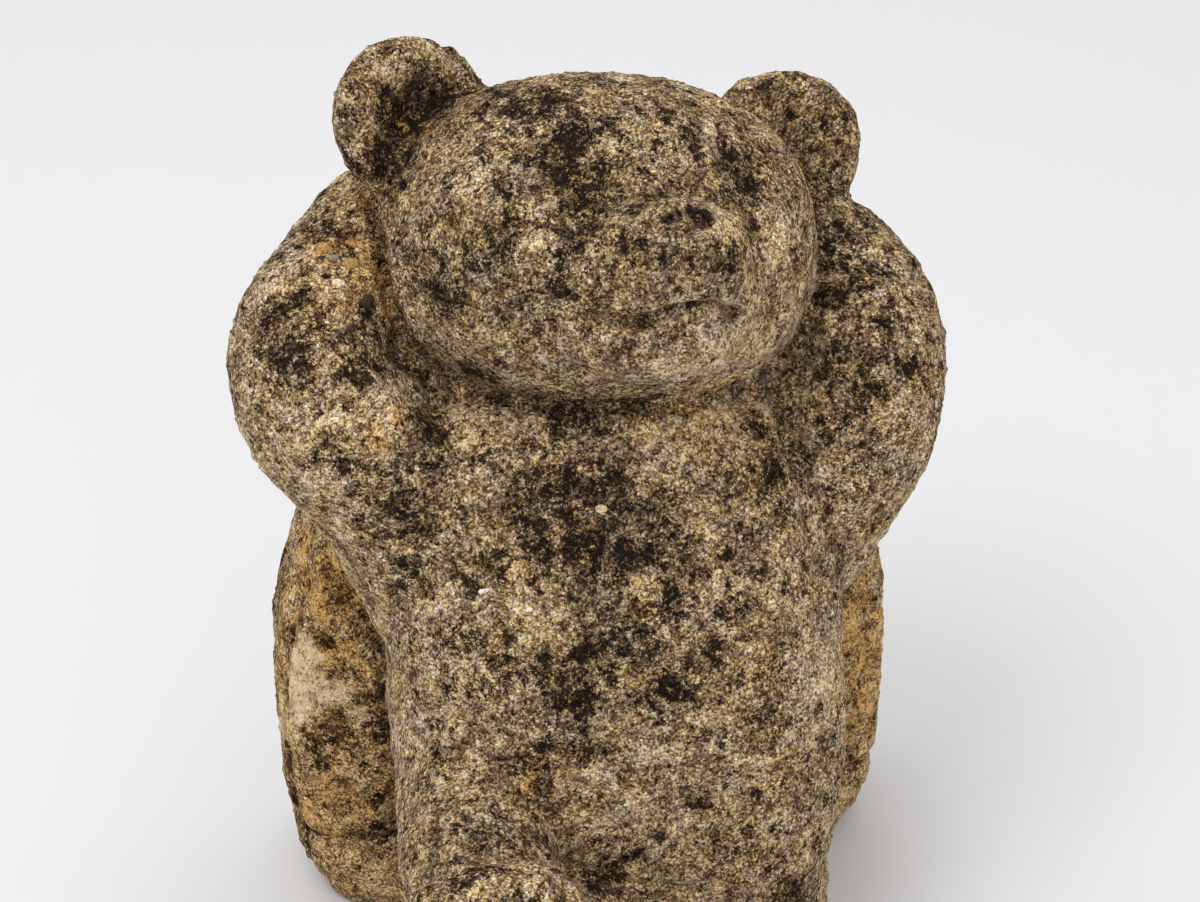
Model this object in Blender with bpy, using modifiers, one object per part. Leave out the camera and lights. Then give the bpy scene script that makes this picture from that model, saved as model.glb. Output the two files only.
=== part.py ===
"""Teddy bear in cast stone, lounging against a stump with its paws behind its head.

The bear faces -Y and +Z is up. The origin is on the flat underside, below the small of the back.
The whole statue is one casting: its forms overlap, one skin is drawn over all of them, the carving
is pressed into that skin, and the underside is cut flat. "Left" and "right" are the viewer's, so
left is -X.
"""

import math
from collections import namedtuple

import bmesh
import bpy
import numpy as np
from mathutils import Matrix, Vector

# Real sizes, in metres
BEAR_HEIGHT = 0.300
STUMP_WIDTH = 0.208
STUMP_DEPTH = 0.085
SKIN_GRAIN = 0.0018

# The figure's proportions are counted in parts, 296 to the height up to its left ear
PARTS_TALL = 296
PART = BEAR_HEIGHT / PARTS_TALL

# A form is a closed egg: its centre, its full size, and how boxy it is (2 is round), in parts
Form = namedtuple("Form", "centre size squareness")

# Body: a barrel that leans back on the stump
BODY_LEAN = math.radians(17)
BARREL = Form((3.5, -14, 105), (142, 107, 203), 2.8)
BELLY = Form((5, -36, 83), (121, 75, 123), 2.2)
CHEST = Form((-27, -8, 158), (83, 69, 91), 2.4)
SHOULDERS = Form((1, 26, 182), (156, 83, 125), 2.6)
NAPE = Form((4, 50, 188), (135, 46, 95), 2.6)
SEAT = Form((3, -16, 27), (133, 117, 83), 3.5)

# Head: tipped back to look up, and turned and rolled to the right. Its forms are in head space,
# where the face looks along -Y with the crown up.
HEAD_PLACE = Vector((4.5, 22, 235))
HEAD_TIP_BACK = math.radians(27)
HEAD_TURN = math.radians(11)
HEAD_ROLL = math.radians(6)
SKULL = Form((0, 0, -0.7), (131, 111, 101.5), 2.3)
CHEEKS = Form((2, -37, -14), (72, 56, 56), 2.0)
MUZZLE = Form((2, -46, -7), (54, 56, 37), 2.2)
NOSE = Form((0, -69, 2), (25, 14, 15), 2.0)
CHIN = Form((2, -43, -30), (51, 38, 26), 2.0)
LEFT_EAR = Form((-56.6, 8, 34.0), (56, 19, 50), 2.2)
RIGHT_EAR = Form((62.3, 8, 32.6), (49.5, 19, 48), 2.2)
EARS = {-1: LEFT_EAR, 1: RIGHT_EAR}
EAR_TURN = math.radians(20)

# Limbs: the points on each one's middle line, with the radius there
LEFT_ARM = (
    ((-42, -4, 135), 31),
    ((-59.5, -5, 172), 28),
    ((-85, 1, 208), 25),
    ((-71, 28, 224), 23),
    ((-47, 50, 233), 24),
    ((-18, 61, 232), 24),
)
RIGHT_ARM = (
    ((50, 2, 127), 29),
    ((69, 0, 156), 27),
    ((85, 5, 188), 25),
    ((83, 26, 208), 25),
    ((60, 46, 219), 24),
    ((30, 59, 228), 24),
)
LEFT_LEG = (
    ((-40, -34, 79), 28),
    ((-46, -61, 83), 24),
    ((-47, -93, 78), 24),
    ((-48, -123, 69), 22),
)
RIGHT_LEG = (
    ((30, -34, 32), 33),
    ((31, -75, 27), 30),
    ((14, -115, 22), 26),
    ((-10, -137, 20), 23),
)
LEFT_FOOT = Form((-49, -133, 89), (60, 33, 72), 2.4)
RIGHT_FOOT = Form((-8, -156, 36), (48, 32, 67), 2.4)
STONE_UNDER_LEG = Form((-30, -81, 30), (60, 109, 89), 3.0)

# Stump: a block with soft corners whose foot swells and tucks in again towards the ground
STUMP_MIDDLE = 1.8
STUMP_TURN = math.radians(5)
STUMP_FRONT = 3
STUMP_FOOT_MIDDLE = 64
STUMP_FOOT_HEIGHT = 164
STUMP_FOOT_SQUARENESS = 3.8
STUMP_TOP_MIDDLE = 91
STUMP_TOP_HEIGHT = 135
STUMP_TOP_SQUARENESS = 4.0
STUMP_TOP_SHARE = 0.94

# Carving: widths and depths are in parts. Places are (across, up) in head space for the face,
# (towards the head, up) for an ear's hollow, and heights above the ground on the stump.
EYES = ((-27.5, 16), (27.5, 15))
EYE_WIDTH = 6
EYE_DEPTH = 2.4
NOSTRILS = ((-5, 2), (5.5, 2))
NOSTRIL_WIDTH = 2.6
NOSTRIL_DEPTH = 4
MOUTH = ((-23, -23), (-12, -26), (0, -27), (12, -26), (23, -22))
MOUTH_WIDTH = 2.4
MOUTH_DEPTH = 2.4
FACE_REACH = -20
EAR_REACH = 10
EAR_HOLLOW = ((1, 1), (7, -7))
EAR_HOLLOW_WIDTH = 13
EAR_HOLLOW_DEPTH = 7
FURROW_SPACING = 29
FURROW_SWAY = 2.5
FURROW_WIDTH = 4.5
FURROW_DEPTH = 2.2
FURROW_TOP = 128
FURROW_POINTS = 8
FURROW_WAVE = 21
LIP_HEIGHT = 29
LIP_WIDTH = 3.5
LIP_DEPTH = 2.4
LIP_SLOPE = 2
BEFORE_FACE = 3
BEHIND_FACE = 16

SOFTENING_COUNT = 14
FACE_TARGET = 9500
STONE_COLOUR = (0.36, 0.28, 0.17, 1.0)
STONE_ROUGHNESS = 0.95


def clear_scene():
    for obj in list(bpy.data.objects):
        bpy.data.objects.remove(obj)


def add_form(bm, form, turn=Matrix.Identity(3), origin=Vector((0, 0, 0))):
    """Each point of a unit ball is pushed out until |x|^n + |y|^n + |z|^n is 1, where n is the
    squareness, then stretched to size and put in place."""
    made = bmesh.ops.create_uvsphere(bm, u_segments=40, v_segments=24, radius=1.0)
    power = form.squareness
    for vert in made["verts"]:
        reach = sum(abs(c) ** power for c in vert.co) ** (1 / power)
        stretched = Vector(c / reach * size / 2 for c, size in zip(vert.co, form.size))
        vert.co = (origin + turn @ stretched + Vector(form.centre)) * PART


def add_limb(bm, joints):
    """A tapered tube with round ends along a smooth line through the joints."""
    line = bpy.data.curves.new("limb", "CURVE")
    line.dimensions = "3D"
    line.bevel_depth = 1.0
    line.bevel_resolution = 5
    line.resolution_u = 8
    line.use_fill_caps = True
    spline = line.splines.new("BEZIER")
    spline.bezier_points.add(len(joints) - 1)
    for point, (place, radius) in zip(spline.bezier_points, joints):
        point.co = Vector(place) * PART
        point.radius = radius * PART
        point.handle_left_type = "AUTO"
        point.handle_right_type = "AUTO"
    guide = bpy.data.objects.new("limb", line)
    bpy.context.scene.collection.objects.link(guide)
    graph = bpy.context.evaluated_depsgraph_get()
    tube = bpy.data.meshes.new_from_object(guide.evaluated_get(graph))
    bm.from_mesh(tube)
    bpy.data.objects.remove(guide)
    for place, radius in (joints[0], joints[-1]):
        add_form(bm, Form(place, (2 * radius,) * 3, 2.0))


def head_turn():
    """Turns head space into statue space."""
    tip = Matrix.Rotation(-HEAD_TIP_BACK, 3, "X")
    turn = Matrix.Rotation(HEAD_TURN, 3, "Z")
    roll = Matrix.Rotation(HEAD_ROLL, 3, "Y")
    return tip @ turn @ roll


def ear_frame(side):
    """The turn of one ear and the place of its middle, in statue space."""
    ear = EARS[side]
    turn = head_turn() @ Matrix.Rotation(-side * EAR_TURN, 3, "Z")
    return turn, HEAD_PLACE + head_turn() @ Vector(ear.centre)


def add_head(bm):
    turn = head_turn()
    for form in (SKULL, CHEEKS, MUZZLE, NOSE, CHIN):
        place = HEAD_PLACE + turn @ Vector(form.centre)
        add_form(bm, form._replace(centre=place), turn)
    for side in (-1, 1):
        ear_turn, place = ear_frame(side)
        add_form(bm, EARS[side]._replace(centre=place), ear_turn)


def add_body(bm):
    lean = Matrix.Rotation(-BODY_LEAN, 3, "X")
    for form in (BARREL, BELLY, CHEST, SHOULDERS):
        add_form(bm, form, lean)
    add_form(bm, NAPE)
    add_form(bm, SEAT)


def add_legs(bm):
    add_limb(bm, LEFT_LEG)
    add_limb(bm, RIGHT_LEG)
    for form in (LEFT_FOOT, RIGHT_FOOT, STONE_UNDER_LEG):
        add_form(bm, form)


def add_stump(bm):
    wide = STUMP_WIDTH / PART
    deep = STUMP_DEPTH / PART
    middle = STUMP_FRONT + deep / 2
    turn = Matrix.Rotation(STUMP_TURN, 3, "Z")
    size = (wide, deep, STUMP_FOOT_HEIGHT)
    foot = Form((STUMP_MIDDLE, middle, STUMP_FOOT_MIDDLE), size, STUMP_FOOT_SQUARENESS)
    size = (wide * STUMP_TOP_SHARE, deep * STUMP_TOP_SHARE, STUMP_TOP_HEIGHT)
    top = Form((STUMP_MIDDLE, middle, STUMP_TOP_MIDDLE), size, STUMP_TOP_SQUARENESS)
    add_form(bm, foot, turn)
    add_form(bm, top, turn)


def skin_over_forms():
    """One closed skin over all the forms, which softens the creases where they meet."""
    bm = bmesh.new()
    add_body(bm)
    add_head(bm)
    add_limb(bm, LEFT_ARM)
    add_limb(bm, RIGHT_ARM)
    add_legs(bm)
    add_stump(bm)
    bmesh.ops.remove_doubles(bm, verts=bm.verts, dist=1e-6)
    forms = bpy.data.meshes.new("forms")
    bm.to_mesh(forms)
    bm.free()
    obj = bpy.data.objects.new("forms", forms)
    bpy.context.scene.collection.objects.link(obj)
    remesh = obj.modifiers.new("skin", "REMESH")
    remesh.mode = "VOXEL"
    remesh.voxel_size = SKIN_GRAIN
    smooth = obj.modifiers.new("soften", "SMOOTH")
    smooth.factor = 0.5
    smooth.iterations = SOFTENING_COUNT
    graph = bpy.context.evaluated_depsgraph_get()
    skin = bpy.data.meshes.new_from_object(obj.evaluated_get(graph))
    bpy.data.objects.remove(obj)
    return skin


class Carver:
    """Moves the skin's points as a rounded tool would that is pushed along one direction.

    A mark is a line of places across the tool's direction. A point sinks by the depth times a
    bell of its distance from the line, and only as far as it faces the tool."""

    def __init__(self, mesh):
        self.mesh = mesh
        flat = np.empty(len(mesh.vertices) * 3)
        mesh.vertices.foreach_get("co", flat)
        self.points = flat.reshape(-1, 3) / PART
        self.normals = np.array([normal.vector for normal in mesh.vertex_normals])

    def sink(self, mark, width, depth, turn, origin=(0, 0, 0), reach=(-math.inf, math.inf)):
        """The mark lies in x and z of the turned frame, and the tool is pushed along its y. Only
        points whose y is within reach are touched."""
        axes = np.array(turn)
        local = (self.points - np.array(origin)) @ axes
        facing = np.clip(-(self.normals @ axes)[:, 1], 0, 1)
        facing *= (local[:, 1] > reach[0]) & (local[:, 1] < reach[1])
        across = local[:, [0, 2]]
        places = np.array(mark, float)
        gap = np.linalg.norm(across - places[0], axis=1)
        for start, end in zip(places[:-1], places[1:]):
            run = end - start
            share = np.clip((across - start) @ run / (run @ run), 0, 1)
            gap = np.minimum(gap, np.linalg.norm(across - start - share[:, None] * run, axis=1))
        bell = np.exp(-((gap / width) ** 2))
        self.points += (facing * bell * depth)[:, None] * axes[:, 1]

    def finish(self):
        self.mesh.vertices.foreach_set("co", (self.points * PART).ravel())
        self.mesh.update()


def carve_head(carver):
    turn = head_turn()
    front = (-math.inf, FACE_REACH)
    for eye in EYES:
        carver.sink([eye], EYE_WIDTH, EYE_DEPTH, turn, HEAD_PLACE, front)
    for nostril in NOSTRILS:
        carver.sink([nostril], NOSTRIL_WIDTH, NOSTRIL_DEPTH, turn, HEAD_PLACE, front)
    carver.sink(MOUTH, MOUTH_WIDTH, MOUTH_DEPTH, turn, HEAD_PLACE, front)
    ear_front = (-math.inf, EAR_REACH)
    for side in (-1, 1):
        ear_turn, place = ear_frame(side)
        hollow = [(-side * inward, up) for inward, up in EAR_HOLLOW]
        carver.sink(hollow, EAR_HOLLOW_WIDTH, EAR_HOLLOW_DEPTH, ear_turn, place, ear_front)


def furrow(across, seed):
    """A line that runs up the stump and sways a little, as split bark does."""
    heights = np.linspace(LIP_HEIGHT, FURROW_TOP, FURROW_POINTS)
    return [(across + FURROW_SWAY * math.sin(seed + h / FURROW_WAVE), h) for h in heights]


def carve_stump(carver):
    """Furrows up all four sides and one crease round the foot, seen square on from each side."""
    wide = STUMP_WIDTH / PART
    deep = STUMP_DEPTH / PART
    middle = Vector((STUMP_MIDDLE, STUMP_FRONT + deep / 2, 0))
    for quarter in range(4):
        turn = Matrix.Rotation(STUMP_TURN + math.radians(90 * quarter), 3, "Z")
        face_width = wide if quarter % 2 == 0 else deep
        face_reach = (deep if quarter % 2 == 0 else wide) / 2
        reach = (-face_reach - BEFORE_FACE, -face_reach + BEHIND_FACE)
        count = int(face_width / FURROW_SPACING)
        for i in range(count):
            across = (i + 0.5 - count / 2) * FURROW_SPACING
            mark = furrow(across, seed=quarter * 2 + i * 1.7)
            carver.sink(mark, FURROW_WIDTH, FURROW_DEPTH, turn, middle, reach)
        half = face_width / 2
        lip = [(-half, LIP_HEIGHT - LIP_SLOPE / 2), (half, LIP_HEIGHT + LIP_SLOPE / 2)]
        carver.sink(lip, LIP_WIDTH, LIP_DEPTH, turn, middle, reach)


def add_ground_cutter():
    """A block whose top is the ground: what lies below it is cut away."""
    side = 2 * BEAR_HEIGHT
    bpy.ops.mesh.primitive_cube_add(size=side, location=(0, 0, -side / 2))
    cutter = bpy.context.object
    cutter.name = "ground_cutter"
    cutter.display_type = "WIRE"
    cutter.hide_render = True
    return cutter


def stone_material():
    material = bpy.data.materials.new("weathered_cast_stone")
    material.use_nodes = True
    shader = material.node_tree.nodes["Principled BSDF"]
    shader.inputs["Base Color"].default_value = STONE_COLOUR
    shader.inputs["Roughness"].default_value = STONE_ROUGHNESS
    shader.inputs["Metallic"].default_value = 0.0
    return material


def put_in_collection(name, obj):
    collection = bpy.data.collections.new(name)
    bpy.context.scene.collection.children.link(collection)
    for old in list(obj.users_collection):
        old.objects.unlink(obj)
    collection.objects.link(obj)


def build_statue():
    clear_scene()
    skin = skin_over_forms()
    carver = Carver(skin)
    carve_head(carver)
    carve_stump(carver)
    carver.finish()
    skin.materials.clear()
    skin.materials.append(stone_material())
    skin.shade_smooth()

    bear = bpy.data.objects.new("bear_statue", skin)
    put_in_collection("stone_teddy_bear", bear)
    cutter = add_ground_cutter()
    put_in_collection("cutters", cutter)

    skin.calc_loop_triangles()
    thin = bear.modifiers.new("fewer_faces", "DECIMATE")
    thin.ratio = FACE_TARGET / len(skin.loop_triangles)
    flat = bear.modifiers.new("flat_underside", "BOOLEAN")
    flat.operation = "DIFFERENCE"
    flat.object = cutter


build_statue()
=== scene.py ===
"""A weathered cast stone teddy bear on a pale table, lit like a catalogue picture."""

import math

import bmesh
import bpy
import numpy as np
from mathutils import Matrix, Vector


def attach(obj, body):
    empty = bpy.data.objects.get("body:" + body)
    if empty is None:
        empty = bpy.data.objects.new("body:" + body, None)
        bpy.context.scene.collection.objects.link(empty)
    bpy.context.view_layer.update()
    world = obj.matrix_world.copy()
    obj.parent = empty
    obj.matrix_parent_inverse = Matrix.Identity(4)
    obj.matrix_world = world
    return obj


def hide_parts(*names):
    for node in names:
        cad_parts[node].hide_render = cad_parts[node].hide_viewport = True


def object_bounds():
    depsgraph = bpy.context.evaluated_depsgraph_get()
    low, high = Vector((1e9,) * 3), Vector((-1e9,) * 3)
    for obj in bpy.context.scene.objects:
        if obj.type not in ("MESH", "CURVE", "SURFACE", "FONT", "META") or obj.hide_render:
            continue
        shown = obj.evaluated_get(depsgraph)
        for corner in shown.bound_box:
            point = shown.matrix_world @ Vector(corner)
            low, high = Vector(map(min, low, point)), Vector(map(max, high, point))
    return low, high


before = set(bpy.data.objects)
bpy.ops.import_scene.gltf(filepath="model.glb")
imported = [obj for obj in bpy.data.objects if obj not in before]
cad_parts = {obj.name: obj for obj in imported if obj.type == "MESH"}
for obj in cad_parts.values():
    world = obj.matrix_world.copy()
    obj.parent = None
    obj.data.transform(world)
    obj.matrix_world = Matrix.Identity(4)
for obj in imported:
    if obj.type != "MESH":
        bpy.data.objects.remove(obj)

cad_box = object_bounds()
MM = 0.001


# The casting: bear and stump
# One block of sandy cast stone, tamped damp into a mould and left to set. Years outdoors have washed
# the cement out of its face, so the sand stands proud, pits have opened and the carving is soft.
SKIN_VOXEL = 1.05 * MM
SKIN_SOFTENING = 9
SKIN_TRIANGLES = 196000

# In millimetres: the rim above the ground that weathers less, how far the whole face has washed
# back, and the least distance that is kept from the sides of the solid's box
GROUND_RIM = 1.5
WASHED_BACK = 0.25
BOX_CLEARANCE = 0.05

# Lumps that the weather left: (how far apart, how high), all in millimetres
LUMPS = ((21, 0.50), (10, 0.40), (5.2, 0.38), (2.9, 0.36))
# Pits where stones and air bubbles came out: (how far apart, share that opened, width, depth)
PITS = ((13, 0.30, 1.9, 1.5), (6.5, 0.34, 1.1, 0.95), (4.0, 0.40, 0.8, 0.7))
# Crumbs of harder mortar left standing: (how far apart, share, width, height)
CRUMBS = ((7.5, 0.45, 1.6, 0.55), (3.8, 0.45, 1.0, 0.42))

# Marks of the modelling tool and of later knocks, as places on the stone in millimetres, with the
# width and the depth of each. A negative depth is a ridge.
MARKS = {
    "mouth": ([(-8, -39.5, 245), (-4, -41.5, 244.5), (1.5, -43, 244), (7.5, -44, 244.5), (13.5, -45, 247.4),
               (20, -45, 248), (27, -43, 246.4), (35, -36, 240.2)], 1.9, 3.4),
    "right_nostril": ([(20.8, -39.5, 276), (23.3, -40.2, 274.4), (26.4, -39, 271.8)], 2.0, 3.8),
    "left_nostril": ([(13.4, -40.5, 273.9), (15.3, -41.2, 275.3), (17.6, -42.5, 275.2)], 1.2, 2.2),
    "nose_rim": ([(12, -42, 273), (14.5, -39, 277.5), (22, -30, 276), (30, -26, 270)], 2.0, -0.7),
    "chin_crease": ([(-39, -8, 206), (-25, -16, 206), (-5, -21, 206), (16, -21, 204), (39, -14, 202)],
                    3.5, 1.2),
    "left_armpit": ([(-50, -3, 211), (-49, -8, 205), (-53, -15, 204)], 3.0, 2.4),
    "arm_ridge": ([(-69, -19, 218), (-63, -21, 211), (-57, -22, 204)], 2.4, -1.0),
    "right_armpit": ([(54, -9, 194), (56, -21, 185), (58, -29, 175), (61, -36, 162), (66, -37, 149)],
                     2.4, 1.3),
    "belly_lobe": ([(-54, -64, 107), (-51, -58, 112), (-47, -59, 117), (-36, -63, 118)], 2.2, 0.9),
    "lap_crease": ([(-40, -81, 105), (-32, -86, 99), (-18, -77, 77), (1, -78, 70), (20, -78, 65)],
                   2.2, 1.2),
    "ear_root_fold": ([(-67.4, 20.7, 274), (-65.3, 19.9, 269.4), (-62.5, 20.2, 264.2), (-60.6, 21.2, 258.8),
                       (-59.1, 16.2, 255.4), (-58.2, 8, 252), (-58, 3, 247), (-57.5, 0, 242),
                       (-56.5, -1, 236), (-54.5, -3.5, 231), (-51.7, -6.5, 225.8)], 3.4, -2.3),
    "ear_root_crevice": ([(-65.6, 30.6, 253.8), (-64.2, 24.1, 250.8), (-62.8, 18.1, 247.6),
                          (-62.1, 13.4, 243.8), (-62.1, 9.1, 239.9), (-61.9, 6.8, 235.1),
                          (-61, 4.2, 229.9), (-58.5, 4, 223.4), (-55, 2.4, 218),
                          (-51.5, -1, 213.5), (-50.1, -3.8, 208.7)], 1.8, 3.4),
    "left_ear_hollow": ([(-47, 39, 283), (-53, 34, 279), (-56, 28, 275)], 6.0, 1.6),
    "right_ear_hollow": ([(68, 52, 264), (72, 48, 257)], 6.0, 1.0),
    "right_ear_chip": ([(92, 50, 263), (93, 49, 260)], 1.8, 2.2),
    "right_ear_chip_below": ([(93, 47, 254), (92, 46, 251)], 1.5, 1.5),
    "stump_groove": ([(-91, 40, 134), (-94, 33, 125), (-95, 27, 116), (-96, 22, 104)], 1.8, 1.8),
    "stump_crack": ([(88, 17, 68), (92, 21, 66), (97, 23, 65), (100, 25, 65)], 0.9, 1.2),
    "stump_foot_groove": ([(-92, 13, 31), (-86, 9, 32), (-80, 5, 34), (-67, 0, 34)], 1.8, 1.6),
    "left_side_crease": ([(-90, 17, 143), (-84, 11, 134), (-77, 5, 125), (-72, 1, 118), (-68, -4, 108),
                          (-66, -3, 92), (-65, -1, 76), (-65, 0, 50), (-65, 0, 34)], 3.2, 3.0),
    "right_side_crease": ([(84, 4, 136), (84, 8, 120), (83, 12, 104), (83, 12, 70), (83, 12, 40)], 3.0, 2.0),
}


def lot(cells, seed):
    """A number from 0 to 1 for each whole-numbered cell: its three counts and the seed are each
    multiplied by a large odd number, and their bits are mixed and shifted down."""
    counts = cells.astype(np.uint64)
    mixed = counts[:, 0] * np.uint64(73856093) ^ counts[:, 1] * np.uint64(19349663)
    mixed ^= counts[:, 2] * np.uint64(83492791) ^ np.uint64(seed * 2654435761)
    mixed = (mixed ^ mixed >> np.uint64(15)) * np.uint64(2246822519)
    mixed = (mixed ^ mixed >> np.uint64(13)) * np.uint64(3266489917)
    return (mixed >> np.uint64(16) & np.uint64(0xFFFF)) / 0xFFFF


def lumps(places, apart, seed):
    """Smooth unevenness from -1 to 1: the lots of the eight corners round each place, blended with
    weights that ease in and out, 3t^2 - 2t^3."""
    scaled = places / apart
    corner = np.floor(scaled).astype(np.int64)
    ease = scaled - corner
    ease = ease * ease * (3 - 2 * ease)
    height = np.zeros(len(places))
    for step in np.ndindex(2, 2, 2):
        weight = np.where(step, ease, 1 - ease).prod(axis=1)
        height += weight * lot(corner + np.array(step), seed)
    return 2 * height - 1


def scattered(places, apart, share, width, seed):
    """Round marks, 1 at the middle and 0 outside: each cell of a lattice holds one point at a place
    drawn by lot, a share of them count, and a bell of the distance to the nearest is returned, where
    each distance is divided by that point's own size of 0.6 to 1.4."""
    scaled = places / apart
    cell = np.floor(scaled).astype(np.int64)
    nearest = np.full(len(places), 9.0)
    for step in np.ndindex(3, 3, 3):
        near = cell + np.array(step) - 1
        point = near + np.stack([lot(near, seed + k) for k in (1, 2, 3)], axis=1)
        size = 0.6 + 0.8 * lot(near, seed + 4)
        gap = np.linalg.norm(scaled - point, axis=1) / size
        nearest = np.where((lot(near, seed) < share) & (gap < nearest), gap, nearest)
    return np.exp(-((nearest * apart / width) ** 2))


def along(places, line, width):
    """A bell of the distance to a line of points: 1 on the line, 1/e at the width."""
    line = np.array(line, float)
    gap = np.full(len(places), np.inf)
    for start, end in zip(line[:-1], line[1:]):
        run = end - start
        share = np.clip((places - start) @ run / (run @ run), 0, 1)
        gap = np.minimum(gap, np.linalg.norm(places - start - share[:, None] * run, axis=1))
    return np.exp(-((gap / width) ** 2))


def read_vertices(mesh):
    """Places in millimetres and outward directions of all vertices, as two arrays."""
    count = len(mesh.vertices)
    places = np.empty(count * 3)
    outward = np.empty(count * 3)
    mesh.vertices.foreach_get("co", places)
    mesh.vertex_normals.foreach_get("vector", outward)
    return places.reshape(-1, 3) / MM, outward.reshape(-1, 3)


def baked(obj):
    """The object's mesh with its modifiers applied, in place of the old one."""
    graph = bpy.context.evaluated_depsgraph_get()
    done = bpy.data.meshes.new_from_object(obj.evaluated_get(graph))
    obj.modifiers.clear()
    obj.data = done
    return done


def weather(mesh):
    """Moves every vertex along its outward direction by the sum of lumps, pits, crumbs and tool
    marks, less near the ground, and keeps it inside the solid's box."""
    places, outward = read_vertices(mesh)
    height = sum(rise * lumps(places, apart, seed) for seed, (apart, rise) in enumerate(LUMPS))
    for seed, (apart, share, width, depth) in enumerate(PITS):
        height -= depth * scattered(places, apart, share, width, 20 + 10 * seed)
    for seed, (apart, share, width, rise) in enumerate(CRUMBS):
        height += rise * scattered(places, apart, share, width, 60 + 10 * seed)
    for line, width, depth in MARKS.values():
        height -= depth * along(places, line, width)
    height -= WASHED_BACK
    off_ground = np.clip(places[:, 2] / GROUND_RIM, 0, 1)
    places += (height * off_ground)[:, None] * outward
    low, high = (np.array(corner) / MM for corner in cad_box)
    inset = np.array((BOX_CLEARANCE, BOX_CLEARANCE, 0))
    places = np.clip(places, low + inset, high - BOX_CLEARANCE)
    mesh.vertices.foreach_set("co", (places * MM).ravel())
    mesh.update()


bear = bpy.data.objects.new("weathered_bear_and_stump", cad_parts["bear_statue"].data.copy())
bpy.context.scene.collection.objects.link(bear)
merged = bmesh.new()
merged.from_mesh(bear.data)
bmesh.ops.remove_doubles(merged, verts=merged.verts, dist=0.01 * MM)
merged.to_mesh(bear.data)
merged.free()
skin = bear.modifiers.new("even_skin", "REMESH")
skin.mode = "VOXEL"
skin.voxel_size = SKIN_VOXEL
soften = bear.modifiers.new("soften", "SMOOTH")
soften.factor = 0.5
soften.iterations = SKIN_SOFTENING
baked(bear)
weather(bear.data)
bear.data.calc_loop_triangles()
fewer = bear.modifiers.new("fewer_triangles", "DECIMATE")
fewer.ratio = SKIN_TRIANGLES / len(bear.data.loop_triangles)
baked(bear)
bear.data.shade_smooth()
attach(bear, "root")
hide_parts("bear_statue")


# What has grown on the stone and soaked into it, and painted shade
# Black lichen took hold wherever rain wets the stone and light falls on it, iron in the sand has
# rusted where the stone stays sheltered, and lime has bloomed on one side of the stump. Shade is
# painted into hollows and creases, the nostrils and the mouth.
# Black lichen, thickest here, and painted shade in the creases at the left side of the head and chin, in both
# armpits and along the left flank against the stump: (x, y, z, how far it spreads), in millimetres. In this
# list and the next ones a fifth number says how dense it is, 1 where there is none.
LICHEN_AND_CREASE_SHADE = (
    (-25, 12, 291, 5, 1.4), (-16, 10, 293, 6, 1.4), (-8, -8, 285, 8), (-4, -17, 278, 6), (-12, -14, 278, 5),
    (-9, -23, 272, 6), (27, -3, 284, 4), (8, -16, 280, 3.5), (43, -6, 268, 5), (39, -4, 275, 5),
    (44, -18, 258, 5), (33, -42, 259, 5), (2, -41, 269, 3), (-2, -43, 261, 3), (-14, -34, 255, 4),
    (-45, 39, 281, 9), (-53, 34, 281, 7), (-60, 21, 268, 6), (-48, -17, 242, 6, 1.3), (-38, -16, 217, 6, 1.4),
    (-81, 21, 252, 5), (-88, -4, 240, 5), (-97, -5, 236, 6), (-92, -14, 230, 6), (-92, -19, 224, 5),
    (-82, -30, 202, 6), (-67, -2, 236, 4), (-65, -4, 227, 5), (-75, -20, 221, 6), (-63, -33, 185, 9),
    (-73, -32, 189, 5), (-73, -32, 174, 6), (-64, -33, 160, 5), (-58, -36, 158, 4), (-81, -30, 181, 5),
    (77, 19, 233, 8), (84, 10, 227, 5), (76, -8, 208, 9), (81, -16, 200, 6), (93, -13, 205, 5),
    (72, -18, 190, 5), (80, -23, 185, 6), (87, -5, 215, 4), (77, 5, 221, 5),
    (-10, -22, 203, 9), (-15, -19, 207, 6), (12, -22, 205, 6), (-10, -31, 195, 6), (-4, -37, 189, 8),
    (-16, -35, 189, 7), (1, -43, 180, 9), (11, -45, 177, 8), (-22, -44, 176, 7), (-12, -45, 176, 7),
    (-9, -49, 168, 7), (1, -47, 172, 7), (12, -49, 169, 6), (21, -51, 164, 4), (-42, -44, 164, 6),
    (-52, -21, 201, 5), (50, -28, 186, 6), (47, -22, 193, 5), (31, -40, 181, 4),
    (-3, -59, 145, 9), (-12, -59, 143, 7), (-17, -61, 136, 8), (8, -62, 134, 7), (14, -55, 155, 5),
    (-36, -55, 144, 5), (-26, -59, 139, 5), (37, -54, 150, 5), (-29, -66, 113, 6), (-18, -66, 119, 5),
    (-15, -68, 113, 4), (-7, -78, 75, 6), (20, -73, 96, 4), (28, -59, 140, 4),
    (-70, 1, 97, 6), (-84, 8, 109, 4, 1.5), (-81, 5, 102, 4, 1.5), (-76, 2, 91, 3, 1.5),
    (-85, 6, 78, 5, 1.5), (-90, 8, 70, 6, 1.5), (-82, 5, 72, 4, 1.3), (-70, 0, 79, 6),
    (-68, -4, 112, 5), (-98, 24, 103, 4, 1.3), (-99, 27, 49, 6, 1.5), (-99, 26, 41, 6, 1.5),
    (-70, 1, 35, 6), (-97, 21, 25, 6, 1.5), (-67, -2, 60, 5), (-71, 1, 50, 4),
    (88, 18, 106, 4), (89, 18, 60, 4), (91, 20, 48, 4), (90, 20, 34, 6), (96, 25, 100, 4),
    (20, 50, 262, 12), (-30, 58, 255, 11), (40, 62, 240, 10), (-60, 75, 190, 9), (15, 80, 170, 12),
    (70, 78, 150, 9), (-20, 84, 120, 10), (45, 85, 90, 8), (100, 55, 130, 9), (-100, 60, 110, 9),
    (-35, -150, 110, 7), (-60, -140, 95, 6), (0, -165, 60, 7), (50, -70, 55, 8),
)
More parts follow.
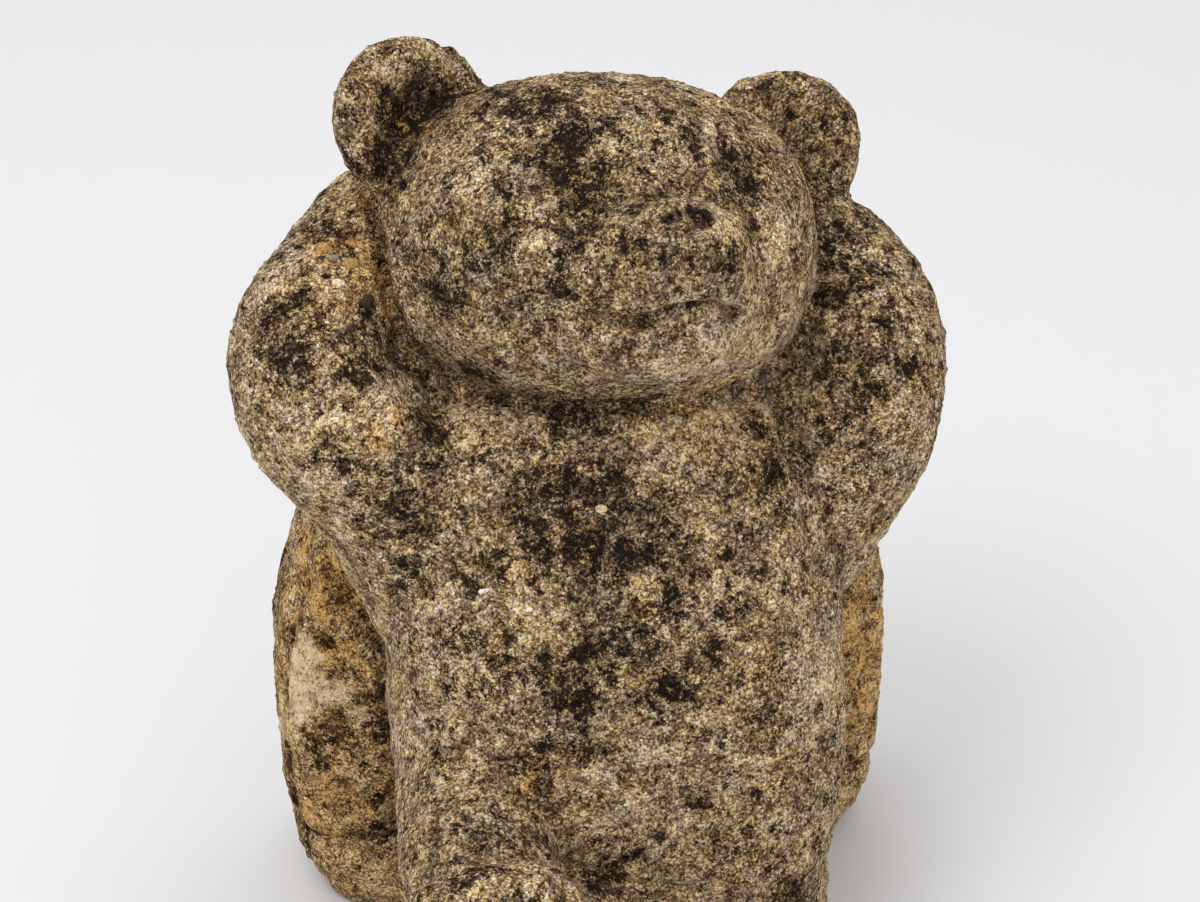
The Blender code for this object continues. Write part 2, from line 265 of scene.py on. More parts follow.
# Paler stone, washed or knocked clean
PALE = (
    (-20, -22, 272, 3.5), (-22, -27, 264, 3.5), (-28, 5, 288, 5), (-39, -10, 274, 5), (3, -9, 285, 4),
    (35, -1, 281, 5), (-53, 38, 293, 5), (-60, 33, 294, 4), (-67, -22, 214, 6), (-67, -27, 207, 5),
    (-79, -1, 243, 5), (-95, 2, 242, 5), (-99, -22, 204, 5), (-90, -27, 207, 5), (-78, -27, 210, 4),
    (-41, -46, 160, 3.5), (-28, -53, 155, 3), (-5, -41, 182, 2.2), (31, -36, 269, 5), (48, -21, 241, 8),
    (-53, -41, 154, 5), (30, -41, 233, 10), (4, -53, 160, 3.5), (-18, -46, 173, 2.2),
    (50, -15, 252, 7), (45, -27, 232, 7), (38, -36, 250, 5), (27, -27, 198, 9), (60, -46, 120, 9),
    (54, -17, 239, 7), (55, -16, 227, 7), (50, -16, 217, 6), (43, -15, 208, 6),
    (90, 20, 140, 6), (10, 84, 60, 9), (-70, 80, 60, 8),
)
# Lime crust on the stump
CRUST = (
    (-91, 10, 105, 7), (-91, 9, 96, 9), (-95, 13, 88, 9), (-97, 16, 79, 8), (-96, 16, 97, 7), (-86, 7, 90, 7),
    (-100, 26, 66, 7), (-82, 5, 94, 5), (-77, 2, 86, 5), (60, 86, 70, 8),
)
# A thin layer of dirt over the muzzle, ears, head, chest and stump, and painted shade in the creases under
# the chin and the mouth, at the left ear root and armpit, along the left flank against the stump and behind
# the raised foot
DIRT_AND_CREASE_SHADE = (
    (14, -42, 262, 17, 1.0), (-58, 30, 280, 20, 0.9), (78, 48, 262, 18, 0.9), (-30, -14, 250, 18, 0.9),
    (-4, -42, 180, 20, 0.7), (36, -34, 188, 15, 0.9), (-20, 0, 285, 16, 0.4), (30, 0, 282, 16, 0.3),
    (5, -44, 243, 7, 1.0), (0, -20, 210, 12, 0.6), (-30, -18, 212, 12, 0.6), (35, -18, 208, 10, 0.6),
    (52, -16, 238, 13, 0.8), (-82, 14, 122, 15, 0.8), (-66, -2, 110, 8, 1.0), (-66, -1, 90, 8, 0.8),
    (-55, 0, 214, 7, 1.0), (-63, 10, 240, 4, 0.8), (-57, 4, 250, 11, 0.7),
    (-50, -91, 104, 7, 0.9), (-60, -84, 101, 7, 0.9), (-40, -96, 102, 6, 0.9),
)
# Rusty ochre stains
OCHRE = (
    (-72, 13, 245, 8), (-76, 15, 246, 6), (-70, 4, 239, 7, 0.8), (-76, -3, 236, 6, 0.6),
    (62, -6, 186, 8, 0.5), (-67, -26, 206, 5), (-80, 9, 122, 12), (-89, 22, 130, 9),
    (27, -24, 200, 9, 0.7), (33, -27, 196, 7, 0.6), (-88, 7, 44, 9), (92, 20, 80, 12),
    (92, 20, 62, 10), (90, 18, 100, 8), (-31, -70, 103, 5), (-25, -69, 107, 5),
    (-54, 33, 278, 4), (-47, 26, 277, 4), (-49, 11, 276, 4), (83, 7, 224, 3),
    (-30, 88, 40, 12), (70, 86, 30, 10),
    (-66, 29, 254, 5), (-64, 16, 247, 5), (-63, 8, 239, 5), (-61, 4, 230, 4), (-59, 4, 223, 4),
    (-66, -24, 207, 5), (-68, -28, 203, 5),
)
# Painted shade, near black, in the nostrils and at one end of the mouth
HOLE_SHADE = (
    (21, -38.5, 275.6, 1.7), (23.5, -39, 273.6, 2.5), (26, -38, 271.8, 2.3),
    (13.4, -40.5, 273.9, 0.8), (15.3, -41.2, 275.3, 0.9), (17.6, -42.5, 275.2, 0.7),
    (2.7, -41.5, 244, 1.2), (5.5, -42, 243.8, 1.1), (-2.3, -40.3, 244.4, 0.9),
    (9, -43, 245.2, 0.9),
)
# How often the surface is smoothed to find the hollows that are painted darker as shade, and the depth in
# millimetres that counts as full
HOLLOW_PASSES = (5, 40)
HOLLOW_DEPTHS = (0.35, 1.6)
# Overhangs shelter the stone below them from the first depth on, and fully at the second
SHELTER_SQUARE = 3
SHELTER_DEPTHS = (4, 25)
# Rain on an upright face, as a share of what falls on a level one
RAIN_UPRIGHT = 0.35
# Lichen anywhere, what rain and shelter add to it, and chance: (how far apart, how much)
LICHEN_ANYWHERE = 0.14
LICHEN_BY_RAIN = 0.22
LICHEN_BY_SHELTER = -0.12
LICHEN_BY_CHANCE = ((26, 0.20), (9, 0.12))
# What its own places add to it, what the clean places take off it, and what it takes off the crust
LICHEN_BY_PLACE = 0.75
LICHEN_WASHED_OFF = 0.35
CRUST_OVERGROWN = 0.8
# The bell of a growth has fallen to 1/e at this many times its spread
GROWTH_REACH = 1.2
# In millimetres: the stump's front lies behind the bear's back and stands forward beside its flanks,
# and the rust fades in behind that front and out below the stump's top
STUMP_FRONT_MIDDLE = 12
STUMP_FRONT_SIDE = -8
BEAR_FLANKS = (60, 66)
RUST_FADES_IN = (0, 8)
RUST_FADES_OUT = (150, 165)
STUMP_RUST = 0.55
# How far the edges of the stains stray from round, and of the smaller painted shade in the nostrils and the
# mouth
STAINS_STRAY = 2.0
HOLE_SHADE_STRAYS = 0.5


# Also used for the patches of painted shade in creases, nostrils and the mouth
def grown(places, stains):
    """How thick a growth is, from 0: each stain is a bell of the distance to its middle, 1/e at the
    reach times its spread, times its fifth number if it has one, and the thickest of them counts."""
    thick = np.zeros(len(places))
    for x, y, z, spread, *dense in stains:
        gap = np.linalg.norm(places - (x, y, z), axis=1) / (GROWTH_REACH * spread)
        thick = np.maximum(thick, np.exp(-(gap ** 2)) * np.prod(dense))
    return thick


# The depth found here is painted into the stone's colour as shade in hollows and creases
def hollows(mesh, places, outward):
    """How deep each vertex lies below the smoothed surface, 0 to 1: neighbours' places are averaged
    a number of times, and the way back out to the average along the outward direction is read."""
    edges = np.empty(len(mesh.edges) * 2, np.int32)
    mesh.edges.foreach_get("vertices", edges)
    ends = np.concatenate([edges[0::2], edges[1::2]])
    others = np.concatenate([edges[1::2], edges[0::2]])
    count = np.bincount(ends, minlength=len(places))[:, None]
    deep = np.zeros(len(places))
    smooth = places.copy()
    done = 0
    for passes, depth in zip(HOLLOW_PASSES, HOLLOW_DEPTHS):
        for _ in range(passes - done):
            smooth = np.stack([np.bincount(ends, smooth[others, k], len(places)) for k in range(3)],
                              axis=1) / count
        done = passes
        deep = np.maximum(deep, ((smooth - places) * outward).sum(axis=1) / depth)
    return np.clip(deep, 0, 1)


def rising(values, start, end):
    """0 up to the start, 1 from the end on, and a straight slope between them."""
    return np.clip((values - start) / (end - start), 0, 1)


def sheltered(places):
    """How far a vertex lies under some overhang, 0 in the open and 1 deep below it: the table is
    ruled in squares, and its own height is taken from that of the highest vertex over its square."""
    square = np.floor(places[:, :2] / SHELTER_SQUARE).astype(int)
    square -= square.min(axis=0) - 1
    top = np.zeros(square.max(axis=0) + 2)
    np.maximum.at(top, (square[:, 0], square[:, 1]), places[:, 2])
    above = top[square[:, 0], square[:, 1]] - places[:, 2]
    return rising(above, *SHELTER_DEPTHS)


def keep(mesh, name, values):
    """Stores one number a vertex under a name that the stone's finish reads."""
    held = mesh.attributes.new(name, "FLOAT", "POINT")
    held.data.foreach_set("value", values.astype(np.float32))


places, outward = read_vertices(bear.data)
wandering = np.stack([lumps(places, 5, 200 + k) + 0.6 * lumps(places, 2.5, 210 + k)
                      for k in range(3)], axis=1)
strayed = places + STAINS_STRAY * wandering
shelter = sheltered(places)
rain = np.clip(RAIN_UPRIGHT + (1 - RAIN_UPRIGHT) * outward[:, 2], 0, 1) * (1 - shelter)
beside = rising(abs(places[:, 0]), *BEAR_FLANKS)
stump_front = STUMP_FRONT_MIDDLE + (STUMP_FRONT_SIDE - STUMP_FRONT_MIDDLE) * beside
behind_front = rising(places[:, 1] - stump_front, *RUST_FADES_IN)
on_stump = behind_front * (1 - rising(places[:, 2], *RUST_FADES_OUT))
lichen_and_shade = LICHEN_ANYWHERE + LICHEN_BY_RAIN * rain + LICHEN_BY_SHELTER * shelter
for seed, (apart, share) in enumerate(LICHEN_BY_CHANCE):
    lichen_and_shade += share * lumps(places, apart, 240 + seed)
# The list of black growth also paints shade into some creases
lichen_and_shade += LICHEN_BY_PLACE * grown(strayed, LICHEN_AND_CREASE_SHADE) - LICHEN_WASHED_OFF * grown(strayed, PALE)
rust = grown(strayed, OCHRE) + STUMP_RUST * on_stump * (0.5 + 0.5 * shelter)
# Stored for the finish: growths and stains, and painted shade in hollows, creases, nostrils and the mouth
STAINS_AND_SHADE = {
    "lichen_and_shade": np.clip(lichen_and_shade, 0, 1),
    "pale": grown(strayed, PALE),
    # Dirt, and painted shade in creases
    "dirt_and_crease_shade": grown(strayed, DIRT_AND_CREASE_SHADE),
    "crust": np.clip(grown(strayed, CRUST) - CRUST_OVERGROWN * grown(strayed, LICHEN_AND_CREASE_SHADE), 0, 1),
    # Painted shade, near black, in the nostrils and the mouth groove
    "hole_shade": grown(places + HOLE_SHADE_STRAYS * wandering, HOLE_SHADE),
    "ochre": np.clip(rust, 0, 1),
    # Painted shade: the deeper a vertex lies in hollows and creases, the darker it is painted
    "hollow_shade": hollows(bear.data, places, outward),
}
for name, thickness in STAINS_AND_SHADE.items():
    keep(bear.data, name, thickness)


# Coarse grains of the mix
# Sharp sand and fine gravel that stand proud where the cement round them has washed out. Each one is
# bedded in the stone to most of its depth, and they are closest together where the rain falls.
# (how many, smallest and largest half width in millimetres, seed)
GRAINS = {"coarse_sand_grains": (9300, 0.55, 1.15, 5), "medium_sand_grains": (9300, 0.35, 0.70, 6)}
GRAINS_OFF_GROUND = 3.0
# Share of grains on an upright side face, what facing forward or up adds, and the least anywhere
GRAINS_BY_FACING = 0.45
GRAINS_LEAST = 0.12


def ball(splits):
    """Corners and triangles of a ball with a radius of 1: twenty triangles at one split, and each of
    them in four, with the new corners on the ball, at every further one."""
    made = bmesh.new()
    bmesh.ops.create_icosphere(made, subdivisions=splits, radius=1)
    corners = np.array([corner.co[:] for corner in made.verts])
    faces = np.array([[corner.index for corner in face.verts] for face in made.faces])
    made.free()
    return corners, faces


def bedded(obj, count, least, most, seed):
    """Corners of grains set on an object, and the vertex that each is nearest to. A grain stands on
    a triangle drawn by lot, more often a large one that faces up or forward. The ball's corners are
    stretched along two directions in the surface and along the outward one, each by its own lot, and
    its middle lies so that 0.2 to 0.55 of its height stands out."""
    obj.data.calc_loop_triangles()
    triangles = np.empty(len(obj.data.loop_triangles) * 3, np.int32)
    obj.data.loop_triangles.foreach_get("vertices", triangles)
    triangles = triangles.reshape(-1, 3)
    places, outward = read_vertices(obj.data)
    first, second, third = places[triangles].transpose(1, 0, 2)
    area = np.linalg.norm(np.cross(second - first, third - first), axis=1)
    facing = outward[triangles[:, 0]]
    open_air = np.clip(GRAINS_BY_FACING * (1 - facing[:, 1] + facing[:, 2]), GRAINS_LEAST, 1)
    chance = area * open_air * (first[:, 2] > GRAINS_OFF_GROUND)
    draw = np.random.default_rng(seed)
    chosen = draw.choice(len(area), count, p=chance / chance.sum())
    share = draw.dirichlet((1, 1, 1), count)
    on_skin = (places[triangles[chosen]] * share[:, :, None]).sum(axis=1)
    up = outward[triangles[chosen, 0]]
    side = np.cross(up, draw.normal(size=(count, 3)))
    side /= np.linalg.norm(side, axis=1)[:, None]
    axes = np.stack([side, np.cross(up, side), up], axis=1)
    half = least + (most - least) * draw.random(count) ** 1.6
    size = half[:, None] * draw.uniform((0.8, 0.7, 0.40), (1.4, 1.1, 0.65), (count, 3))
    middle = on_skin + up * (size[:, 2] * draw.uniform(-0.6, 0.1, count))[:, None]
    uneven = draw.uniform(0.85, 1.15, (count, len(grain_corners), 1))
    corners = grain_corners[None] * uneven * size[:, None]
    return middle[:, None] + corners @ axes, triangles[chosen, 0]


grain_corners, grain_faces = ball(1)
grains = []
for name, (count, least, most, seed) in GRAINS.items():
    corners, nearest = bedded(bear, count, least, most, seed)
    corners = np.clip(corners.reshape(-1, 3), np.array(cad_box[0]) / MM + BOX_CLEARANCE,
                      np.array(cad_box[1]) / MM - BOX_CLEARANCE)
    faces = (len(grain_corners) * np.arange(count)[:, None, None] + grain_faces[None]).reshape(-1, 3)
    mesh = bpy.data.meshes.new(name)
    mesh.from_pydata((corners * MM).tolist(), [], faces.tolist())
    mesh.shade_smooth()
    # Each grain takes the stains and the painted shade of the vertex nearest to it
    for stain, thickness in STAINS_AND_SHADE.items():
        keep(mesh, stain, np.repeat(thickness[nearest], len(grain_corners)))
    grain = bpy.data.objects.new(name, mesh)
    bpy.context.scene.collection.objects.link(grain)
    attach(grain, "root")
    grains.append(grain)


# Gravel laid open beside the head
# A few rounded pebbles of the mix, orange, brown, grey and white, where the face of the arm has worn
# away, and three on chest and belly. They are bedded to more than half their depth.
# (place, half lengths along and across in millimetres, colour)
PEBBLES = (
    ((-78.3, 14.3, 246.2), (2.1, 1.3), (0.42, 0.20, 0.055)),
    ((-70.5, 16.0, 246.2), (1.9, 1.3), (0.46, 0.21, 0.070)),
    ((-76.3, 10.5, 244.6), (1.7, 1.4), (0.24, 0.22, 0.16)),
    ((-71.8, 8.5, 243.0), (2.9, 2.1), (0.37, 0.23, 0.080)),
    ((-68.1, 0.6, 234.7), (2.8, 2.0), (0.050, 0.030, 0.020)),
    ((-74.0, -8.7, 231.4), (2.0, 1.4), (0.060, 0.034, 0.022)),
    ((-81.3, 10.5, 245.0), (1.3, 0.9), (0.045, 0.038, 0.026)),
    ((-75.4, 1.8, 240.3), (2.0, 1.3), (0.78, 0.66, 0.50)),
    ((-69.5, 13.0, 244.8), (0.9, 0.8), (0.72, 0.64, 0.50)),
    ((-64.5, 9.5, 241.0), (1.5, 1.4), (0.26, 0.15, 0.055)),
    ((-5.1, -41.3, 182.1), (1.9, 1.3), (0.64, 0.50, 0.29)),
    ((-41.2, -46.4, 159.5), (1.9, 0.7), (0.76, 0.69, 0.57)),
    ((-27.8, -52.5, 155.1), (1.7, 0.8), (0.74, 0.67, 0.55)),
)
# The share of its height that stands out, and half its depth as a share of its half width
PEBBLE_STANDS_OUT = 0.35
PEBBLE_HALF_DEPTH = 0.55
# Its lumps: (how far apart in millimetres, how high as a share of its size)
PEBBLE_LUMPS = (1.2, 0.10)

nearest = [int(np.argmin(np.linalg.norm(places - place, axis=1))) for place, _, _ in PEBBLES]
ball_corners, ball_faces = ball(3)
corners, tints = [], []
for number, (spot, (_, (long, wide), colour)) in enumerate(zip(nearest, PEBBLES)):
    up = outward[spot]
    side = np.cross(up, (0.4 * math.sin(number), 0.2, 1.0))
    side /= np.linalg.norm(side)
    deep = PEBBLE_HALF_DEPTH * wide
    lumpy = 1 + PEBBLE_LUMPS[1] * lumps(ball_corners * long, PEBBLE_LUMPS[0], 300 + number)
    stretched = ball_corners * (long, wide, deep) * lumpy[:, None]
    centre = places[spot] - up * deep * (1 - 2 * PEBBLE_STANDS_OUT)
    corners.append(centre + stretched @ np.stack([side, np.cross(up, side), up]))
    tints.append(np.tile((*colour, 1.0), (len(ball_corners), 1)))
faces = (len(ball_corners) * np.arange(len(PEBBLES))[:, None, None] + ball_faces[None]).reshape(-1, 3)
gravel_mesh = bpy.data.meshes.new("bedded_gravel")
gravel_mesh.from_pydata((np.concatenate(corners) * MM).tolist(), [], faces.tolist())
gravel_mesh.shade_smooth()
held = gravel_mesh.attributes.new("pebble_colour", "FLOAT_COLOR", "POINT")
held.data.foreach_set("color", np.concatenate(tints).astype(np.float32).ravel())
gravel = bpy.data.objects.new("bedded_gravel", gravel_mesh)
bpy.context.scene.collection.objects.link(gravel)
gravel_finish = bpy.data.materials.new("weathered_gravel")
gravel_finish.use_nodes = True
gravel.data.materials.append(gravel_finish)
nodes, links = gravel_finish.node_tree.nodes, gravel_finish.node_tree.links
pebble_colour = nodes.new("ShaderNodeAttribute")
pebble_colour.attribute_name = "pebble_colour"
spot_place = nodes.new("ShaderNodeTexCoord")
grime = nodes.new("ShaderNodeTexNoise")
grime.inputs["Scale"].default_value = 900.0
grime.inputs["Detail"].default_value = 4.0
grime.inputs["Roughness"].default_value = 0.8
grime_share = nodes.new("ShaderNodeMapRange")
grime_share.inputs["From Min"].default_value = 0.38
grime_share.inputs["From Max"].default_value = 0.62
grime_share.inputs["To Min"].default_value = 0.45
grime_share.inputs["To Max"].default_value = 1.25
soiled = nodes.new("ShaderNodeMix")
soiled.data_type = "RGBA"
soiled.blend_type = "MULTIPLY"
soiled.inputs[0].default_value = 1.0
links.new(spot_place.outputs["Object"], grime.inputs["Vector"])
links.new(grime.outputs["Fac"], grime_share.inputs["Value"])
links.new(pebble_colour.outputs["Color"], soiled.inputs[6])
links.new(grime_share.outputs["Result"], soiled.inputs[7])
links.new(soiled.outputs[2], nodes["Principled BSDF"].inputs["Base Color"])
worn = nodes.new("ShaderNodeBump")
worn.inputs["Strength"].default_value = 0.8
worn.inputs["Distance"].default_value = 0.0002
links.new(grime.outputs["Fac"], worn.inputs["Height"])
links.new(worn.outputs[0], nodes["Principled BSDF"].inputs["Normal"])
nodes["Principled BSDF"].inputs["Roughness"].default_value = 0.75
nodes["Principled BSDF"].inputs["Specular IOR Level"].default_value = 0.15
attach(gravel, "root")


# The stone's finish
# Sharp sand in tan cement, dull and open grained. How light each spot is goes by one level, uneven at
# every size from palm-wide patches to single grains; growths lower or raise it, and painted shade darkens
# hollows, creases, nostrils and the mouth.
SAND_APART = 0.72 * MM
GRIT_APART = 1.9 * MM

stone = bpy.data.materials.new("weathered_sandy_cast_stone")
stone.use_nodes = True
tree = stone.node_tree
finish = tree.nodes["Principled BSDF"]


def lay(kind, feeds=None, **settings):
    """Adds one node to the stone, sets its choices, and feeds each named or numbered socket with
    another node's output or with a fixed value."""
    made = tree.nodes.new(kind)
    for name, value in settings.items():
        setattr(made, name, value)
    for socket, feed in (feeds or {}).items():
        if isinstance(feed, bpy.types.NodeSocket):
            tree.links.new(feed, made.inputs[socket])
        else:
            made.inputs[socket].default_value = feed
    return made


def reckon(how, first, second=0.0, third=0.0):
    """The result of one sum on two or three numbers."""
    return lay("ShaderNodeMath", {0: first, 1: second, 2: third}, operation=how).outputs[0]


def between(value, low, high):
    """0 below the low number, 1 above the high one, with an eased slope between them. With the
    larger number first it falls from 1 to 0."""
    feeds = {"Value": value, "From Min": low, "From Max": high}
    return lay("ShaderNodeMapRange", feeds, interpolation_type="SMOOTHSTEP").outputs["Result"]


def over(under, colour, cover):
    """A colour laid over another where cover is 1."""
    mixed = lay("ShaderNodeMix", {0: cover, 6: under, 7: colour}, data_type="RGBA")
    return mixed.outputs[2]


def cloudy(apart, detail, roughness=0.6):
    """Unevenness of the stone whose largest waves are that far apart."""
    feeds = {"Vector": where, "Scale": 1 / apart, "Detail": detail, "Roughness": roughness}
    return lay("ShaderNodeTexNoise", feeds).outputs["Fac"]


def kept(name):
    """A number that was stored at the vertices."""
    return lay("ShaderNodeAttribute", attribute_name=name).outputs["Fac"]


where = lay("ShaderNodeTexCoord").outputs["Object"]
wander = lay("ShaderNodeTexNoise", {"Vector": where, "Scale": 900.0, "Detail": 2.0})
strayed_where = lay("ShaderNodeVectorMath", {0: wander.outputs["Color"], 1: (0.0006,) * 3, 2: where},
                    operation="MULTIPLY_ADD").outputs[0]

sand = lay("ShaderNodeTexVoronoi", {"Vector": strayed_where, "Scale": 1 / SAND_APART})
sand_lot = lay("ShaderNodeSeparateColor", {0: sand.outputs["Color"]})
grit = lay("ShaderNodeTexVoronoi", {"Vector": strayed_where, "Scale": 1 / GRIT_APART})
grit_lot = lay("ShaderNodeSeparateColor", {0: grit.outputs["Color"]})
grit_shows = reckon("MULTIPLY", between(grit_lot.outputs[0], 0.80, 0.82),
                    between(grit.outputs["Distance"], 0.42, 0.30))

# The level, in steps that a third of the stone lies within to either side of its middle
uneven = cloudy(0.0085, 5.0, 0.95)
ragged = cloudy(0.0060, 4.5, 0.85)
fine = cloudy(0.0011, 3.0, 0.7)
clumps = between(cloudy(0.0023, 3.0, 0.8), 0.465, 0.535)
gaps = reckon("MULTIPLY", between(sand.outputs["Distance"], 0.48, 0.74), between(fine, 0.40, 0.58))
BASE_LEVEL = -6.66
# The push from hollows is painted shade; the pushes from black growth and from dirt also paint shade into
# some creases
PUSHES = (
    (uneven, 11.0), (clumps, 0.9), (sand_lot.outputs[0], 2.3),
    (grit_shows, reckon("MULTIPLY_ADD", grit_lot.outputs[1], 2.6, -1.2)),
    (kept("pale"), 0.8), (kept("lichen_and_shade"), -1.1), (kept("dirt_and_crease_shade"), -0.95), (kept("hollow_shade"), -0.9), (gaps, -1.5),
)
level = BASE_LEVEL
for cause, push in PUSHES:
    level = reckon("MULTIPLY_ADD", cause, push, level)

# Black lichen, ragged dots and clusters that stand closer together where it thrives, and painted shade as the
# same dots in some creases
bare = reckon("MULTIPLY_ADD", kept("lichen_and_shade"), -0.115, 0.600)
lichen_and_shade_cover = between(reckon("SUBTRACT", ragged, bare), -0.008, 0.010)
crust_edge = between(reckon("MULTIPLY_ADD", ragged, 2.2, kept("crust")), 1.56, 1.72)
lichen_and_shade_cover = reckon("MULTIPLY", lichen_and_shade_cover, reckon("MULTIPLY_ADD", crust_edge, -0.55, 1.0))
level = reckon("MULTIPLY_ADD", lichen_and_shade_cover, -2.1, level)

LEVEL_LOW, LEVEL_HIGH = -3.5, 2.7
shade = lay("ShaderNodeMapRange", {"Value": level, "From Min": LEVEL_LOW, "From Max": LEVEL_HIGH})
weathered = lay("ShaderNodeValToRGB", {0: shade.outputs["Result"]})
LEVEL_COLOURS = (
    (-3.4, (0.013, 0.0090, 0.0068)), (-2.05, (0.054, 0.035, 0.020)), (-1.28, (0.120, 0.080, 0.043)),
    (-0.52, (0.228, 0.156, 0.088)), (0.0, (0.322, 0.228, 0.131)), (0.52, (0.444, 0.325, 0.192)),
    (1.28, (0.625, 0.483, 0.295)), (2.05, (0.775, 0.650, 0.432)), (2.6, (0.870, 0.800, 0.620)),
)
ramp = weathered.color_ramp
for number, (step, colour) in enumerate(LEVEL_COLOURS):
    share = (step - LEVEL_LOW) / (LEVEL_HIGH - LEVEL_LOW)
    stop = ramp.elements[number] if number < 2 else ramp.elements.new(share)
    stop.position = share
    stop.color = (*colour, 1)

# Tints: warm and cool patches and grains, rust where it is sheltered, and a few orange grains
warmth = reckon("MULTIPLY_ADD", cloudy(0.013, 6.0, 0.9), 1.3, reckon("MULTIPLY", sand_lot.outputs[1], 0.4))
tint = over((1.09, 0.98, 0.69, 1), (0.94, 1.00, 1.24, 1), between(warmth, 0.64, 1.06))
ochre = reckon("MULTIPLY", kept("ochre"), between(cloudy(0.008, 5.0, 0.75), 0.34, 0.56))
tint = over(tint, (1.16, 0.94, 0.60, 1), ochre)
tinted = lay("ShaderNodeMix", {0: 1.0, 6: weathered.outputs[0], 7: tint}, data_type="RGBA",
             blend_type="MULTIPLY").outputs[2]
orange = reckon("MULTIPLY", between(ochre, 0.45, 0.8), between(uneven, 0.49, 0.55))
orange = reckon("MULTIPLY", orange, reckon("MULTIPLY_ADD", gaps, -0.5, 0.6))
orange_grain = reckon("MULTIPLY", between(sand_lot.outputs[2], 0.985, 0.99), 0.35)
rusty = over(tinted, (0.62, 0.36, 0.11, 1), orange)
rusty = over(rusty, (0.42, 0.17, 0.05, 1), orange_grain)

# Lime crust with pinholes, and painted shade, near black, in the nostrils and at one end of the mouth
pinholes = lay("ShaderNodeTexVoronoi", {"Vector": strayed_where, "Scale": 420.0})
crust_cover = reckon("MULTIPLY", crust_edge, between(pinholes.outputs["Distance"], 0.20, 0.30))
crust_colour = over((0.46, 0.31, 0.15, 1), (0.84, 0.68, 0.44, 1), between(uneven, 0.43, 0.54))
crusted = over(rusty, crust_colour, reckon("MULTIPLY", crust_cover, 0.68))
# Painted shade in the nostrils and mouth, ragged at its edge
hole_shade = reckon("MULTIPLY", kept("hole_shade"), reckon("MULTIPLY_ADD", ragged, 3.0, -0.6))
hole_shaded = over(crusted, (0.014, 0.012, 0.011, 1), reckon("MULTIPLY", between(hole_shade, 0.25, 0.6), 0.92))
tree.links.new(hole_shaded, finish.inputs["Base Color"])

relief = reckon("MULTIPLY_ADD", sand.outputs["Distance"], -0.5, reckon("MULTIPLY", uneven, 3.0))
relief = reckon("MULTIPLY_ADD", grit_shows, 0.5, relief)
relief = reckon("MULTIPLY_ADD", gaps, -0.4, relief)
grain_bump = lay("ShaderNodeBump", {"Height": relief, "Strength": 1.0, "Distance": 0.00050})
tree.links.new(grain_bump.outputs[0], finish.inputs["Normal"])
tree.links.new(reckon("MULTIPLY_ADD", fine, 0.12, 0.86), finish.inputs["Roughness"])
finish.inputs["Specular IOR Level"].default_value = 0.03
bear.data.materials.clear()
for piece in (bear, *grains):
    piece.data.materials.append(stone)


# Table, light and camera
# A pale sweep of paper under the statue, a large soft light high on the left, weaker ones above, in
# front and on the paper behind, and white card all round.
PAPER = {"front": -3.0, "back": 1.6, "half_width": 3.5, "rise": 2.5, "radius": 0.8}


def sweep(front, back, half_width, rise, radius):
    """A sheet that lies flat, bends up through a quarter circle and stands: its profile is a
    straight, an arc of sines and cosines, and a straight, carried from side to side."""
    turn = np.linspace(0, math.pi / 2, 24)
    along_y = np.concatenate([[front], back + radius * np.sin(turn), [back + radius]])
    along_z = np.concatenate([[0.0], radius * (1 - np.cos(turn)), [rise]])
    sides = np.repeat([-half_width, half_width], len(along_y))
    rows = np.stack([sides, np.tile(along_y, 2), np.tile(along_z, 2)], axis=1)
    step = np.arange(len(along_y) - 1)
    faces = np.stack([step, step + len(along_y), step + len(along_y) + 1, step + 1], axis=1)
    mesh = bpy.data.meshes.new("paper_sweep")
    mesh.from_pydata(rows.tolist(), [], faces.tolist())
    mesh.shade_smooth()
    return mesh


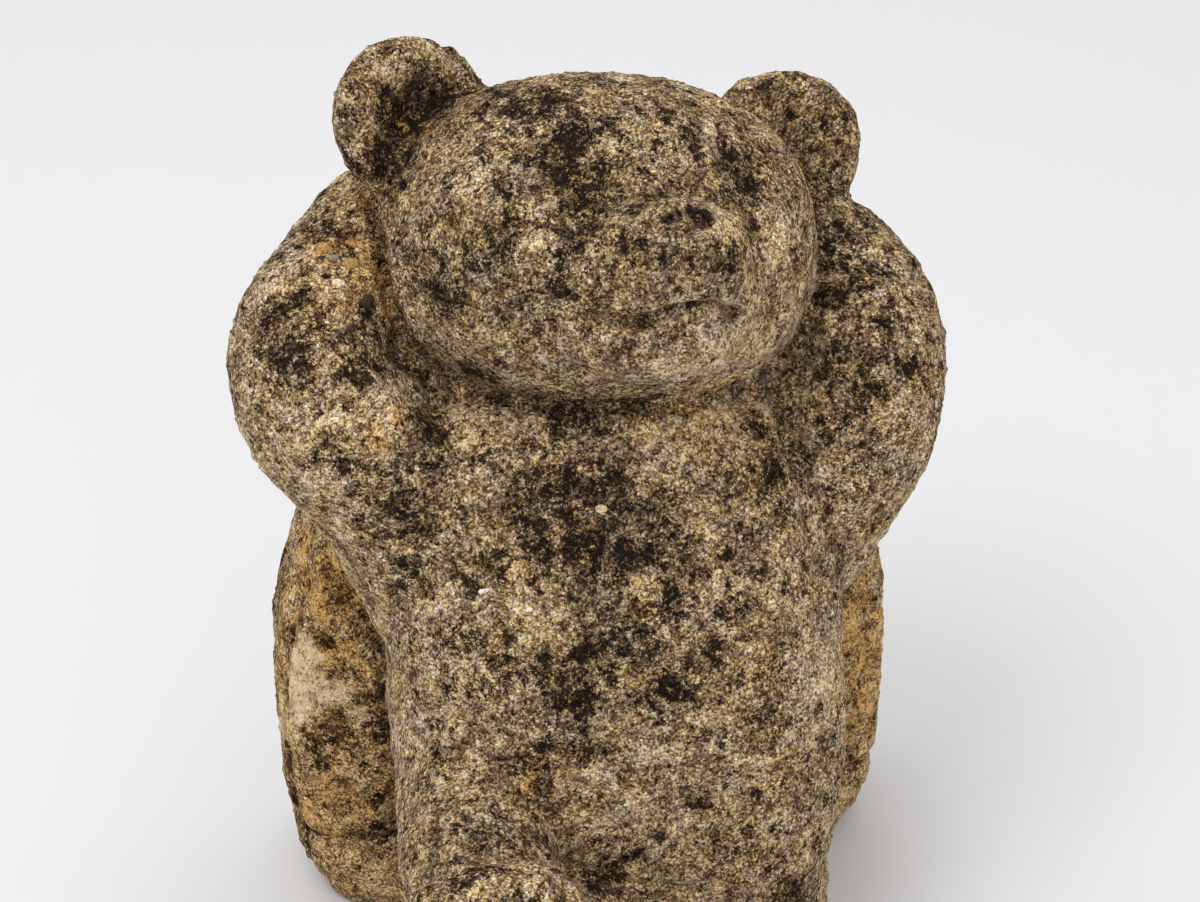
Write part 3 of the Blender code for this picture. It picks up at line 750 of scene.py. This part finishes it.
paper = bpy.data.materials.new("pale_paper")
paper.use_nodes = True
paper.node_tree.nodes["Principled BSDF"].inputs["Base Color"].default_value = (0.70, 0.70, 0.714, 1)
paper.node_tree.nodes["Principled BSDF"].inputs["Roughness"].default_value = 0.9
table = bpy.data.objects.new("paper_sweep", sweep(**PAPER))
table.data.materials.append(paper)
bpy.context.scene.collection.objects.link(table)

world = bpy.data.worlds.new("white_cards")
world.use_nodes = True
world.node_tree.nodes["Background"].inputs["Color"].default_value = (1.0, 1.0, 1.0, 1)
world.node_tree.nodes["Background"].inputs["Strength"].default_value = 0.87
bpy.context.scene.world = world


def soft_light(name, place, aim, size, power):
    """A square light of the given size at a place, turned to look at its aim."""
    light = bpy.data.lights.new(name, "AREA")
    light.shape = "SQUARE"
    light.size = size
    light.energy = power
    lamp = bpy.data.objects.new(name, light)
    lamp.location = place
    lamp.rotation_euler = (Vector(aim) - Vector(place)).to_track_quat("-Z", "Y").to_euler()
    bpy.context.scene.collection.objects.link(lamp)


soft_light("high_left", (-0.68, -0.62, 1.6), (0, 0, 0.12), 0.8, 11)
soft_light("overhead", (0.0, 0.25, 1.8), (0, 0, 0.1), 1.2, 6)
soft_light("backdrop", (0.0, 1.2, 1.8), (0, 2.4, 0.4), 1.0, 3.5)
soft_light("front_fill", (0.5, -1.7, 0.9), (0, 0, 0.12), 1.2, 3)

CAMERA_AIM = Vector((0.0, -0.009, 0.1826))
CAMERA_AZIMUTH = math.radians(-9)
CAMERA_ELEVATION = math.radians(30)
CAMERA_AWAY = 0.863
eye = bpy.data.cameras.new("camera")
eye.lens = 85
eye.sensor_width = 36
eye.clip_start = 0.01
camera = bpy.data.objects.new("camera", eye)
camera.location = CAMERA_AIM + CAMERA_AWAY * Vector((
    math.sin(CAMERA_AZIMUTH) * math.cos(CAMERA_ELEVATION),
    -math.cos(CAMERA_AZIMUTH) * math.cos(CAMERA_ELEVATION),
    math.sin(CAMERA_ELEVATION),
))
camera.rotation_euler = (CAMERA_AIM - camera.location).to_track_quat("-Z", "Y").to_euler()
bpy.context.scene.collection.objects.link(camera)
bpy.context.scene.camera = camera
bpy.context.scene.view_settings.view_transform = "Standard"
